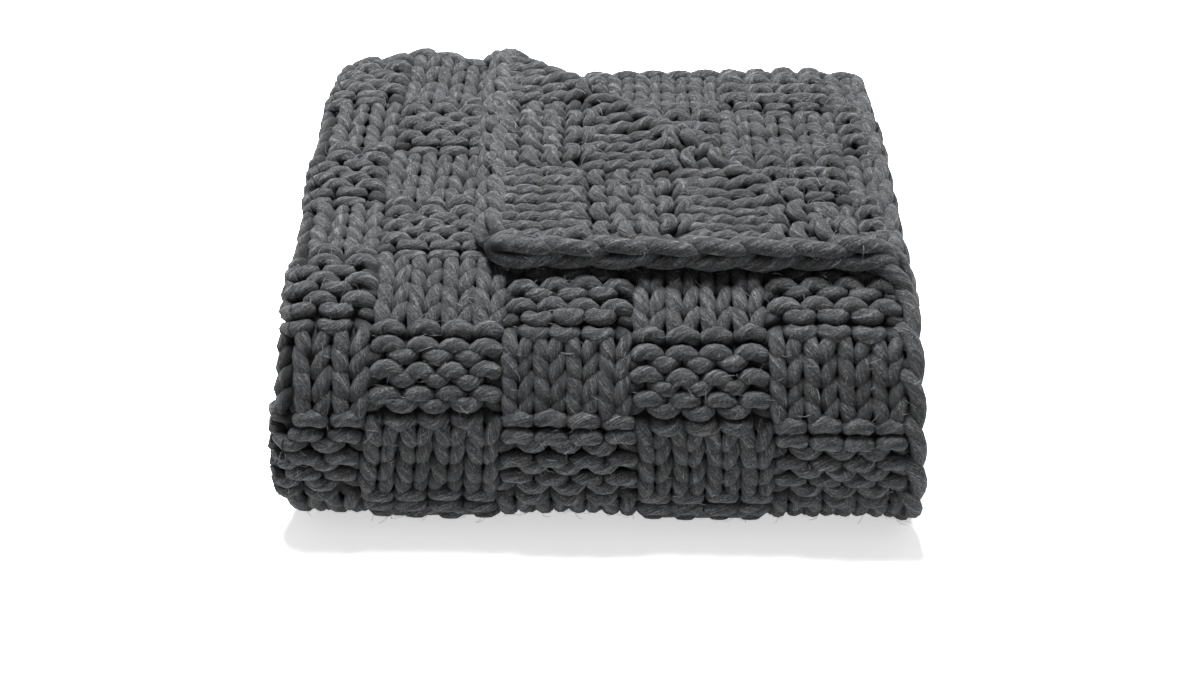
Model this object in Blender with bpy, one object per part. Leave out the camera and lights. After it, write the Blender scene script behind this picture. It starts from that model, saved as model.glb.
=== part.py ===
"""Chunky basketweave knit throw, folded into eight layers with its top corner turned back.

The cloth is one rectangle. It is doubled across its width at a crease on the left, then wrapped
along its length: over the top, down the front, back underneath, and twice more inside. A sheet
point is named by three lengths: `across` from the crease (positive on the outer half, negative on
the inner half), `along` from the free end at the top back, and `height` off the middle of the
cloth, positive on the outer side.
"""

import math

import bmesh
import bpy
import numpy as np

# Knitted cloth, in metres.
CLOTH_THICKNESS = 0.0290
LAYER_GAP = 0.0030
STITCH_PITCH = 0.0316
STITCHES_PER_BLOCK = 4
ROWS_PER_BLOCK = 4
ROW_PITCH = 0.0214
BLOCK_RISE = 0.005
BLOCK_SLOPE_SHARE = 0.18
EDGE_BULGE = 0.006

# Stitches from the crease to the first block boundary and to the selvage, on each half.
OUTER_FIRST_BOUNDARY = 2.7
INNER_FIRST_BOUNDARY = 1.7
OUTER_STITCHES = 19.1
INNER_STITCHES = 19.1

LAYER_PITCH = CLOTH_THICKNESS + LAYER_GAP
HALF_THICKNESS = CLOTH_THICKNESS / 2
BLOCK_WIDTH = STITCHES_PER_BLOCK * STITCH_PITCH
BLOCK_LENGTH = ROWS_PER_BLOCK * ROW_PITCH
CREASE_RADIUS = LAYER_PITCH / 2
CREASE_REACH = CREASE_RADIUS * math.pi / 2
OUTER_WIDTH = OUTER_STITCHES * STITCH_PITCH
INNER_WIDTH = INNER_STITCHES * STITCH_PITCH
BACK_HAIRPIN_RADIUS = 1.5 * LAYER_PITCH
INNER_HAIRPIN_RADIUS = 0.5 * LAYER_PITCH

# Course of the outer half in side view, from the top back edge: length in metres, turn in degrees.
PATH = (
    ("top", 4 * BLOCK_LENGTH, 2.0),
    ("upper shoulder", BLOCK_LENGTH, 41.0),
    ("lower shoulder", BLOCK_LENGTH, 29.0),
    ("face", BLOCK_LENGTH, 25.0),
    ("foot", 0.0752, 83.0),
    ("bottom", 0.3500, 0.0),
    ("back hairpin", BACK_HAIRPIN_RADIUS * math.pi, 180.0),
    ("third pass", 0.2720, 0.0),
    ("inner hairpin", INNER_HAIRPIN_RADIUS * math.pi, -180.0),
    ("fourth pass", 0.3300, 0.0),
)
FLAT_LENGTH = sum(length for _, length, _ in PATH)
FOOT_START = sum(length for _, length, _ in PATH[:4])
WRAP_LENGTH = sum(length for _, length, _ in PATH[:5])

# The inner half lies half a block further back than the outer half on top, and level with it
# from the front bend on.
INNER_SETBACK = 0.043
INNER_SHEAR_WIDTH = 0.12
SETBACK_FADE_START = 0.36
SETBACK_FADE_LENGTH = 0.30

# Place of the fold in its own frame: crease centre across, back edge in depth.
CREASE_X = -0.2772
BACK_EDGE_Y = 0.2220

# Slump of the stack: narrower towards the top, and lower towards the front.
TAPER_PER_METRE = 0.20
TAPER_HEIGHT = 0.10
SAG_SHARE = 0.085
SAG_BACK_Y = 0.20
SAG_DEPTH = 0.32

# Shallow hollow in the stack under the back end of the diagonal.
HOLLOW_X = -0.060
HOLLOW_WIDTH = 0.10
HOLLOW_FRONT_Y = 0.10
HOLLOW_DEPTH = 0.16
HOLLOW_SHARE = 0.055

# Unevenness of the sides along the cloth: metres along, then how far out the crease, the outer
# half's selvage and the inner half's selvage stand.
SIDE_TABLE = (
    (0.00, -0.016, -0.004, 0.012),
    (0.10, -0.003, 0.000, 0.014),
    (0.34, 0.000, 0.000, 0.010),
    (0.46, 0.005, -0.001, -0.010),
    (0.60, 0.003, 0.000, -0.014),
    (0.70, -0.018, -0.004, -0.010),
    (0.95, 0.002, -0.008, -0.004),
    (1.16, -0.003, 0.003, -0.002),
    (1.36, 0.002, -0.010, -0.012),
    (1.58, -0.004, -0.004, 0.000),
    (1.97, 0.003, -0.012, -0.006),
)

# Corner turned back over the top: left and front edges of the triangle that lies on the cloth.
TURNED_LEFT = 6.2 * STITCH_PITCH
TURNED_FRONT = 0.367
TURN_RADIUS = LAYER_PITCH / 2
TURN_ARC = TURN_RADIUS * math.pi
TURN_SETBACK = TURN_ARC / math.sqrt(2)
TURN_START = TURNED_LEFT - TURN_SETBACK
TURN_REACH = OUTER_WIDTH - TURN_START
TURN_STRETCH = (TURN_REACH - TURN_SETBACK) / TURNED_FRONT
TURN_PRESS = 0.30
COVER_MARGIN = 0.03

# Mesh steps.
FRONT_TURN_STEP = math.radians(11)
MAX_TURN_STEP = math.radians(16)
CREASE_STEPS = 8
TURN_CUTS = 9
MERGE_DISTANCE = 0.004
HIDDEN_STEP = 0.09
SHARP_ANGLE = math.radians(60)

YARN_GREY = (0.095, 0.098, 0.102, 1.0)
YARN_ROUGHNESS = 0.95


def clear_scene():
    """Remove every object in the open scene."""
    for existing in list(bpy.data.objects):
        bpy.data.objects.remove(existing, do_unlink=True)


def ease(share):
    """Smooth step from 0 at share 0 to 1 at share 1."""
    share = np.clip(share, 0, 1)
    return share * share * (3 - 2 * share)


def smooth_table(values, column):
    """Value of one column of the side table, eased between its rows."""
    stations = np.array([row[0] for row in SIDE_TABLE])
    levels = np.array([row[column] for row in SIDE_TABLE])
    index = np.clip(np.searchsorted(stations, values, side="right") - 1, 0, len(stations) - 2)
    share = (values - stations[index]) / (stations[index + 1] - stations[index])
    return levels[index] + (levels[index + 1] - levels[index]) * ease(share)


def path_frame(along):
    """Depth, level and outward direction of the outer half's middle at each length along."""
    depth = np.zeros_like(along)
    level = np.zeros_like(along)
    heading = np.zeros_like(along)
    start_depth, start_level, start_heading = 0.0, 0.0, math.pi
    start = 0.0
    for number, (_, length, turn) in enumerate(PATH):
        curvature = math.radians(turn) / length
        here = along >= start if number else np.ones(along.shape, bool)
        run = along - start
        if curvature:
            angle = start_heading + curvature * run
            run_depth = (np.sin(angle) - math.sin(start_heading)) / curvature
            run_level = (math.cos(start_heading) - np.cos(angle)) / curvature
            end_heading = start_heading + math.radians(turn)
            end_depth = (math.sin(end_heading) - math.sin(start_heading)) / curvature
            end_level = (math.cos(start_heading) - math.cos(end_heading)) / curvature
        else:
            angle = np.full(along.shape, start_heading)
            run_depth = run * math.cos(start_heading)
            run_level = run * math.sin(start_heading)
            end_heading = start_heading
            end_depth = length * math.cos(start_heading)
            end_level = length * math.sin(start_heading)
        depth = np.where(here, start_depth + run_depth, depth)
        level = np.where(here, start_level + run_level, level)
        heading = np.where(here, angle, heading)
        start_depth += end_depth
        start_level += end_level
        start_heading = end_heading
        start += length
    return depth, level, np.sin(heading), -np.cos(heading)


def bottom_level():
    """Level of the bottom pass below the start of the path."""
    return float(path_frame(np.array([WRAP_LENGTH]))[1][0])


def turn_corner(across, along, height):
    """Carry sheet points beyond the diagonal round it and back onto the top."""
    root_two = math.sqrt(2)
    beyond = ((across - TURN_START) - along * TURN_STRETCH) / root_two
    angle = np.clip(beyond / TURN_RADIUS, 0, math.pi)
    share = np.clip((across - TURN_START) / TURN_REACH, 0, 1)
    pressed = 1 - TURN_PRESS * np.sin(math.pi * share)
    rise = TURN_RADIUS - (TURN_RADIUS - height) * np.cos(angle)
    reach = pressed * (TURN_RADIUS - height) * np.sin(angle) - np.maximum(beyond - TURN_ARC, 0)
    turning = (across > 0) & (beyond > 0)
    shift = np.where(turning, reach - beyond, 0.0)
    return (
        across + shift / root_two,
        along - shift / root_two / TURN_STRETCH,
        np.where(turning, rise, height),
    )


def fold_points(across, along, height):
    """Place sheet points, as three arrays, in the folded throw."""
    across, along, height = turn_corner(across, along, height)
    angle = np.clip(across / CREASE_RADIUS, -math.pi / 2, math.pi / 2)
    straight = np.maximum(np.abs(across) - CREASE_REACH, 0)
    x = straight - (CREASE_RADIUS + height) * np.cos(angle)
    offset = -CREASE_RADIUS + (CREASE_RADIUS + height) * np.sin(angle)
    setback = INNER_SETBACK * (1 - ease((along - SETBACK_FADE_START) / SETBACK_FADE_LENGTH))
    along = along - setback * ease(-across / INNER_SHEAR_WIDTH)
    depth, level, out_depth, out_level = path_frame(along)
    y = BACK_EDGE_Y + depth + out_depth * offset
    z = level - bottom_level() + HALF_THICKNESS + out_level * offset
    share = np.clip(straight / (OUTER_WIDTH - CREASE_REACH), 0, 1)
    crease_out = smooth_table(along, 1)
    selvage_out = np.where(across > 0, smooth_table(along, 2), smooth_table(along, 3))
    x = CREASE_X + x - crease_out * (1 - share) + selvage_out * share
    x = x * (1 - TAPER_PER_METRE * (z - TAPER_HEIGHT))
    z = z * (1 - SAG_SHARE * ease((SAG_BACK_Y - y) / SAG_DEPTH))
    hollow = ease((y - HOLLOW_FRONT_Y) / HOLLOW_DEPTH) * ease(1 - np.abs(x - HOLLOW_X) / HOLLOW_WIDTH)
    z = z * (1 - HOLLOW_SHARE * hollow)
    return x, y, z


def across_lines():
    """Grid lines across the cloth: the crease's steps, then each block's edges and slopes."""
    lines = [CREASE_REACH * (2 * step / CREASE_STEPS - 1) for step in range(CREASE_STEPS + 1)]
    halves = (
        (1, OUTER_FIRST_BOUNDARY, OUTER_WIDTH),
        (-1, INNER_FIRST_BOUNDARY, INNER_WIDTH),
    )
    for sign, first_boundary, width in halves:
        start = first_boundary * STITCH_PITCH - BLOCK_WIDTH
        while start < width:
            for share in (0, BLOCK_SLOPE_SHARE, 1 - BLOCK_SLOPE_SHARE):
                line = start + share * BLOCK_WIDTH
                if CREASE_REACH + MERGE_DISTANCE < line < width - 2 * MERGE_DISTANCE:
                    lines.append(sign * line)
            start += BLOCK_WIDTH
        lines.append(sign * width)
    return sorted(lines)


def bend_steps(start, end):
    """Start of each equal step from start to end, short enough for the bend between them."""
    _, _, out_depth, out_level = path_frame(np.array([start, end]))
    turn = math.acos(min(1.0, float(out_depth[0] * out_depth[1] + out_level[0] * out_level[1])))
    steps = max(1, math.ceil(turn / FRONT_TURN_STEP))
    return [start + (end - start) * step / steps for step in range(steps)]


def along_lines():
    """Grid lines along the cloth: each block's edges and slopes where it shows, then bends in steps."""
    lines = []
    start = 0.0
    while start < FOOT_START - MERGE_DISTANCE:
        lines += [start + share * BLOCK_LENGTH for share in (0, BLOCK_SLOPE_SHARE, 1 - BLOCK_SLOPE_SHARE)]
        start += BLOCK_LENGTH
    lines.append(FOOT_START)
    lines = [line for pair in zip(lines, lines[1:]) for line in bend_steps(*pair)] + [FOOT_START]
    end = 0.0
    for _, length, turn in PATH:
        start, end = end, end + length
        if start < FOOT_START - MERGE_DISTANCE:
            continue
        steps = math.ceil(max(abs(math.radians(turn)) / MAX_TURN_STEP, length / HIDDEN_STEP))
        lines += [start + length * (step + 1) / steps for step in range(steps)]
    return lines


def flat_cloth():
    """Flat triangle mesh of the cloth in sheet lengths, cut along the diagonal of the turned corner."""
    flat = bmesh.new()
    columns = across_lines()
    rows = along_lines()
    grid = [[flat.verts.new((across, along, 0)) for across in columns] for along in rows]
    for near, far in zip(grid, grid[1:]):
        for corners in zip(near, near[1:], far[1:], far):
            flat.faces.new(corners)
    normal = np.array((1.0, -TURN_STRETCH, 0.0))
    normal_length = float(np.linalg.norm(normal))
    for cut in range(TURN_CUTS):
        beyond = TURN_ARC * cut / (TURN_CUTS - 1) * math.sqrt(2)
        bmesh.ops.bisect_plane(
            flat,
            geom=flat.verts[:] + flat.edges[:] + flat.faces[:],
            dist=MERGE_DISTANCE,
            plane_co=(TURN_START + beyond, 0, 0),
            plane_no=tuple(normal / normal_length),
        )
    bmesh.ops.remove_doubles(flat, verts=flat.verts[:], dist=MERGE_DISTANCE)
    bmesh.ops.triangulate(flat, faces=flat.faces[:])
    return flat


def plateau(share):
    """Flat middle with straight slopes to 0 at both ends of each unit of share."""
    share = share - np.floor(share)
    return np.clip(np.minimum(share, 1 - share) / BLOCK_SLOPE_SHARE, 0, 1)


def purl_plateau(across, along, outer_side):
    """Rise, from 0 to 1, of the blocks that show purl ridges on one side of the cloth."""
    outer = across - OUTER_FIRST_BOUNDARY * STITCH_PITCH
    inner = -across - INNER_FIRST_BOUNDARY * STITCH_PITCH
    block_across = np.where(across > 0, outer, inner) / BLOCK_WIDTH
    block_along = along / BLOCK_LENGTH
    odd = (np.floor(block_across) + np.floor(block_along)) % 2 == 1
    purl_outside = np.where(across > 0, odd, ~odd)
    purl = purl_outside if outer_side else ~purl_outside
    return np.where(purl, plateau(block_across) * plateau(block_along), 0.0)


def block_rise(across, along, outer_side):
    """Height added to the cloth's outer or inner side where that side shows."""
    beyond = ((across - TURN_START) - along * TURN_STRETCH) / math.sqrt(2)
    if outer_side:
        covered = (across > TURNED_LEFT - COVER_MARGIN) & (along < TURNED_FRONT + COVER_MARGIN)
        shows = (across > CREASE_REACH) & ~covered & (along < FOOT_START)
    else:
        turned = (across > 0) & (beyond > TURN_ARC)
        bared = (-across - TURN_START - BLOCK_WIDTH / 2) > along * TURN_STRETCH
        shows = turned | bared
    return np.where(shows, BLOCK_RISE * purl_plateau(across, along, outer_side), 0.0)


def edge_directions(flat):
    """Outward direction, across and along, of each vertex on the cloth's rim."""
    last = max(vertex.co.y for vertex in flat.verts)
    directions = {}
    for vertex in flat.verts:
        if not vertex.is_boundary:
            continue
        across, along = vertex.co.x, vertex.co.y
        out_across = float(across > OUTER_WIDTH - MERGE_DISTANCE) - float(across < MERGE_DISTANCE - INNER_WIDTH)
        out_along = float(along > last - MERGE_DISTANCE) - float(along < MERGE_DISTANCE)
        directions[vertex.index] = (out_across, out_along)
    return directions


def build_throw(material):
    """Fold the flat cloth, give it its two sides and a rounded rim, and return the object."""
    flat = flat_cloth()
    flat.verts.index_update()
    across = np.array([vertex.co.x for vertex in flat.verts])
    along = np.array([vertex.co.y for vertex in flat.verts])
    outer = fold_points(across, along, HALF_THICKNESS + block_rise(across, along, True))
    inner = fold_points(across, along, -HALF_THICKNESS - block_rise(across, along, False))
    directions = edge_directions(flat)
    rim_numbers = sorted(directions)
    out = np.array([directions[number] for number in rim_numbers]) * EDGE_BULGE
    rim = fold_points(across[rim_numbers] + out[:, 0], along[rim_numbers] + out[:, 1], np.zeros(len(rim_numbers)))
    folded = bmesh.new()
    outer_verts = [folded.verts.new(point) for point in zip(*outer)]
    inner_verts = [folded.verts.new(point) for point in zip(*inner)]
    rim_verts = dict(zip(rim_numbers, (folded.verts.new(point) for point in zip(*rim))))
    for face in flat.faces:
        numbers = [vertex.index for vertex in face.verts]
        folded.faces.new([outer_verts[number] for number in numbers])
        folded.faces.new([inner_verts[number] for number in reversed(numbers)])
    for edge in flat.edges:
        if edge.is_boundary:
            first, second = (vertex.index for vertex in edge.verts)
            folded.faces.new((outer_verts[first], outer_verts[second], rim_verts[second], rim_verts[first]))
            folded.faces.new((rim_verts[first], rim_verts[second], inner_verts[second], inner_verts[first]))
    flat.free()
    bmesh.ops.recalc_face_normals(folded, faces=folded.faces[:])
    bmesh.ops.triangulate(folded, faces=folded.faces[:])
    mesh = bpy.data.meshes.new("throw")
    folded.to_mesh(mesh)
    folded.free()
    mesh.shade_smooth()
    mesh.set_sharp_from_angle(angle=SHARP_ANGLE)
    mesh.materials.append(material)
    throw = bpy.data.objects.new("throw", mesh)
    bpy.context.scene.collection.objects.link(throw)
    return throw


def yarn_material():
    """Heathered charcoal wool, matte."""
    material = bpy.data.materials.new("charcoal yarn")
    material.use_nodes = True
    shader = material.node_tree.nodes["Principled BSDF"]
    shader.inputs["Base Color"].default_value = YARN_GREY
    shader.inputs["Roughness"].default_value = YARN_ROUGHNESS
    shader.inputs["Metallic"].default_value = 0.0
    return material


def main():
    """Build the folded throw."""
    clear_scene()
    build_throw(yarn_material())


main()
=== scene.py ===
"""Looks of a chunky basketweave knit throw, folded into a stack with one top corner turned back.

Every strand is a swept tube of yarn. Its course is worked out on the flat cloth, as lengths across
and along it and height off its middle, and then carried into the folds by the solid's own rule.
`across` runs from the crease (positive on the outer half), `along` from the free edge at the top
back, and `height` is positive on the cloth's outer side.
"""

import logging
import math
from dataclasses import dataclass, field
from enum import Enum
from typing import Callable

import bpy
import numpy as np
from mathutils import Matrix, Vector


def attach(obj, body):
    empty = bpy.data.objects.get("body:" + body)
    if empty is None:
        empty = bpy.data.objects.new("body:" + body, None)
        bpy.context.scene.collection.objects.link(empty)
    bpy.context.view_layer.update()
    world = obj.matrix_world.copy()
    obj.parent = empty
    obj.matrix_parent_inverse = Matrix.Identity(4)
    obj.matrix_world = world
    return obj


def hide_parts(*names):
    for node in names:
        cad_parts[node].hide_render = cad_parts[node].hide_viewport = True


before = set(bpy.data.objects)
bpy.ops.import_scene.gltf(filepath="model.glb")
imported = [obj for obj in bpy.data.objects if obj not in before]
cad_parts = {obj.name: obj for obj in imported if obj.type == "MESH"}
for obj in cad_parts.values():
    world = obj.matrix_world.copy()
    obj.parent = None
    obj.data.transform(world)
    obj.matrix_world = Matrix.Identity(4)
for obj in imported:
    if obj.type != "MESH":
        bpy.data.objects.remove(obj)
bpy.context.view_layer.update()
NODE = "throw"
BODY = "root"

Points = tuple[np.ndarray, np.ndarray, np.ndarray]
Place = Callable[[np.ndarray, np.ndarray, np.ndarray], np.ndarray]
Pair = tuple[float, float]
Triple = tuple[float, float, float]
Socket = bpy.types.NodeSocket

TINY = 1e-9

log = logging.getLogger("throw")


def ease(share: np.ndarray) -> np.ndarray:
    """Smooth step from 0 at share 0 to 1 at share 1.

    Args:
        share: Values of any range.

    Returns:
        The eased values, from 0 to 1.
    """
    share = np.clip(share, 0, 1)
    return share * share * (3 - 2 * share)


class Side(Enum):
    """Columns of the fold's side table."""

    CREASE = 1
    OUTER_SELVAGE = 2
    INNER_SELVAGE = 3


@dataclass(frozen=True)
class Fold:
    """Course of the cloth through its folds, in metres, as in the solid."""

    thickness: float = 0.0290
    gap: float = 0.0030
    stitch: float = 0.0316
    row: float = 0.0214
    stitches: float = 19.1
    inner_setback: float = 0.043
    inner_shear_width: float = 0.12
    fade_start: float = 0.36
    fade_length: float = 0.30
    crease_x: float = -0.2772
    back_edge_y: float = 0.2220
    taper: float = 0.20
    taper_height: float = 0.10
    sag_share: float = 0.085
    sag_back_y: float = 0.20
    sag_depth: float = 0.32
    hollow_x: float = -0.060
    hollow_width: float = 0.10
    hollow_front_y: float = 0.10
    hollow_depth: float = 0.16
    hollow_share: float = 0.055
    turned_left_stitches: float = 6.2
    turned_front: float = 0.367
    turn_press: float = 0.30
    ridge_rise: float = 0.014
    ridge_ends: float = 0.30
    ridge_place: float = 0.036
    ridge_width: float = 0.027
    curl_rise: float = 0.013
    curl_across: float = 0.105
    curl_width: float = 0.042
    curl_length: float = 0.050
    parts_to_bottom: int = 5
    side_table: tuple[tuple[float, float, float, float], ...] = (
        (0.00, -0.016, -0.004, 0.012),
        (0.10, -0.003, 0.000, 0.014),
        (0.34, 0.000, 0.000, 0.010),
        (0.46, 0.005, -0.001, -0.010),
        (0.60, 0.003, 0.000, -0.014),
        (0.70, -0.018, -0.004, -0.010),
        (0.95, 0.002, -0.008, -0.004),
        (1.16, -0.003, 0.003, -0.002),
        (1.36, 0.002, -0.010, -0.012),
        (1.58, -0.004, -0.004, 0.000),
        (1.97, 0.003, -0.012, -0.006),
    )

    @property
    def pitch(self) -> float:
        """Distance between the middles of two layers."""
        return self.thickness + self.gap

    @property
    def width(self) -> float:
        """Width of each half, from the crease to its selvage."""
        return self.stitches * self.stitch

    @property
    def block(self) -> float:
        """Length of one block of four rows."""
        return 4 * self.row

    @property
    def path(self) -> tuple[Pair, ...]:
        """Side view of the outer half from the top back edge: lengths, and turns in degrees."""
        return (
            (4 * self.block, 2.0),
            (self.block, 41.0),
            (self.block, 29.0),
            (self.block, 25.0),
            (0.0752, 83.0),
            (0.3500, 0.0),
            (1.5 * self.pitch * math.pi, 180.0),
            (0.2720, 0.0),
            (0.5 * self.pitch * math.pi, -180.0),
            (0.3300, 0.0),
        )

    @property
    def length(self) -> float:
        """Length of the flat cloth between its two end rows."""
        return sum(length for length, _ in self.path)

    @property
    def crease_reach(self) -> float:
        """Half the cloth's length round the crease."""
        return self.pitch * math.pi / 4

    @property
    def turn_start(self) -> float:
        """Where the diagonal crosses the top back edge, across."""
        return self.turned_left_stitches * self.stitch - self.pitch * math.pi / 2 / math.sqrt(2)

    @property
    def turn_reach(self) -> float:
        """Cloth from the diagonal's start to the selvage."""
        return self.width - self.turn_start

    @property
    def turn_stretch(self) -> float:
        """Slope of the diagonal on the flat cloth."""
        return (self.turn_reach - self.pitch * math.pi / 2 / math.sqrt(2)) / self.turned_front

    def side_shift(self, along: np.ndarray, side: Side) -> np.ndarray:
        """Unevenness of one side.

        Args:
            along: Lengths along the cloth.
            side: Which side.

        Returns:
            How far out the side stands at each length.
        """
        stations = np.array([row[0] for row in self.side_table])
        levels = np.array([row[side.value] for row in self.side_table])
        index = np.clip(np.searchsorted(stations, along, side="right") - 1, 0, len(stations) - 2)
        share = (along - stations[index]) / (stations[index + 1] - stations[index])
        return levels[index] + (levels[index + 1] - levels[index]) * ease(share)

    def path_frame(self, along: np.ndarray) -> tuple[np.ndarray, np.ndarray, np.ndarray, np.ndarray]:
        """Place of the outer half's middle in side view.

        Args:
            along: Lengths along the cloth.

        Returns:
            Depth, level, and the two parts of the outward direction.
        """
        depth, level, heading = np.zeros_like(along), np.zeros_like(along), np.zeros_like(along)
        start_depth, start_level, start_heading, start = 0.0, 0.0, math.pi, 0.0
        for number, (length, turn) in enumerate(self.path):
            curvature = math.radians(turn) / length
            here = along >= start if number else np.ones(along.shape, bool)
            run = along - start
            if curvature:
                angle = start_heading + curvature * run
                run_depth = (np.sin(angle) - math.sin(start_heading)) / curvature
                run_level = (math.cos(start_heading) - np.cos(angle)) / curvature
                end_heading = start_heading + math.radians(turn)
                end_depth = (math.sin(end_heading) - math.sin(start_heading)) / curvature
                end_level = (math.cos(start_heading) - math.cos(end_heading)) / curvature
            else:
                angle = np.full(along.shape, start_heading)
                run_depth = run * math.cos(start_heading)
                run_level = run * math.sin(start_heading)
                end_heading = start_heading
                end_depth = length * math.cos(start_heading)
                end_level = length * math.sin(start_heading)
            depth = np.where(here, start_depth + run_depth, depth)
            level = np.where(here, start_level + run_level, level)
            heading = np.where(here, angle, heading)
            start_depth += end_depth
            start_level += end_level
            start_heading = end_heading
            start += length
        return depth, level, np.sin(heading), -np.cos(heading)

    def turn_corner(self, across: np.ndarray, along: np.ndarray, height: np.ndarray) -> Points:
        """Carry sheet points beyond the diagonal round it and back onto the top.

        Args:
            across: Lengths from the crease.
            along: Lengths from the top back edge.
            height: Heights off the cloth's middle.

        Returns:
            The three arrays, turned.
        """
        root_two = math.sqrt(2)
        radius = self.pitch / 2
        beyond = ((across - self.turn_start) - along * self.turn_stretch) / root_two
        angle = np.clip(beyond / radius, 0, math.pi)
        share = np.clip((across - self.turn_start) / self.turn_reach, 0, 1)
        pressed = 1 - self.turn_press * np.sin(math.pi * share)
        rise = radius - (radius - height) * np.cos(angle)
        ridge = self.ridge_ends + (1 - self.ridge_ends) * np.sin(math.pi * share)
        nearness = np.exp(-(((beyond - self.ridge_place) / self.ridge_width) ** 2))
        rise = rise + self.ridge_rise * ridge * nearness * ease(beyond / radius)
        reach = pressed * (radius - height) * np.sin(angle) - np.maximum(beyond - radius * math.pi, 0)
        turning = (across > 0) & (beyond > 0)
        shift = np.where(turning, reach - beyond, 0.0)
        return (
            across + shift / root_two,
            along - shift / root_two / self.turn_stretch,
            np.where(turning, rise, height),
        )

    def points(self, across: np.ndarray, along: np.ndarray, height: np.ndarray) -> np.ndarray:
        """Place sheet points in the folded throw.

        Args:
            across: Lengths from the crease.
            along: Lengths from the top back edge.
            height: Heights off the cloth's middle.

        Returns:
            One row of x, y and z for each point.
        """
        curl = np.exp(-(((across - self.curl_across) / self.curl_width) ** 2))
        curl = self.curl_rise * curl * ease(1 - along / self.curl_length) * (across > 0)
        across, along, height = self.turn_corner(across, along, height)
        radius = self.pitch / 2
        angle = np.clip(across / radius, -math.pi / 2, math.pi / 2)
        straight = np.maximum(np.abs(across) - self.crease_reach, 0)
        x = straight - (radius + height) * np.cos(angle)
        offset = -radius + (radius + height) * np.sin(angle)
        setback = self.inner_setback * (1 - ease((along - self.fade_start) / self.fade_length))
        along = along - setback * ease(-across / self.inner_shear_width)
        depth, level, out_depth, out_level = self.path_frame(along)
        wrap = sum(length for length, _ in self.path[: self.parts_to_bottom])
        bottom = float(self.path_frame(np.array([wrap]))[1][0])
        y = self.back_edge_y + depth + out_depth * offset
        z = level - bottom + self.thickness / 2 + out_level * offset
        share = np.clip(straight / (self.width - self.crease_reach), 0, 1)
        outer_out = self.side_shift(along, Side.OUTER_SELVAGE)
        selvage_out = np.where(across > 0, outer_out, self.side_shift(along, Side.INNER_SELVAGE))
        x = self.crease_x + x - self.side_shift(along, Side.CREASE) * (1 - share) + selvage_out * share
        x = x * (1 - self.taper * (z - self.taper_height))
        z = z * (1 - self.sag_share * ease((self.sag_back_y - y) / self.sag_depth))
        hollow = ease((y - self.hollow_front_y) / self.hollow_depth)
        hollow = hollow * ease(1 - np.abs(x - self.hollow_x) / self.hollow_width)
        z = z * (1 - self.hollow_share * hollow) + curl
        return np.stack((x, y, z), axis=-1)


@dataclass(frozen=True)
class Waves:
    """Seeded unevenness of hand-knit stitches: a sum of slow waves over stitches and rows."""

    seed: int
    lengths: Pair = (1.7, 7.0)
    count: int = 9

    def at(self, stitch: np.ndarray, row: np.ndarray) -> np.ndarray:
        """Unevenness, mostly from -1 to 1.

        Args:
            stitch: Stitch numbers, with their fractions.
            row: Row numbers, with their fractions.

        Returns:
            One value for each point.
        """
        draw = np.random.default_rng(self.seed)
        total = np.zeros(np.broadcast(stitch, row).shape)
        for _ in range(self.count):
            heading = draw.uniform(0, 2 * math.pi)
            length = draw.uniform(*self.lengths)
            phase = draw.uniform(0, 2 * math.pi)
            rate = 2 * math.pi / length
            total += np.sin(rate * (stitch * math.cos(heading) + row * math.sin(heading)) + phase)
        return total / math.sqrt(self.count)


@dataclass(frozen=True)
class Strand:
    """One length of yarn: its course, its radius, which way is out of the cloth, and its tone.

    `stand` is how far the middle of the yarn is off the middle of the cloth, along `outward`.
    """

    points: np.ndarray
    radii: np.ndarray
    outward: np.ndarray
    stand: np.ndarray
    tone: float


def unit(vectors: np.ndarray) -> np.ndarray:
    """Vectors of length 1 in the same directions."""
    return vectors / np.maximum(np.linalg.norm(vectors, axis=-1, keepdims=True), TINY)


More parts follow.
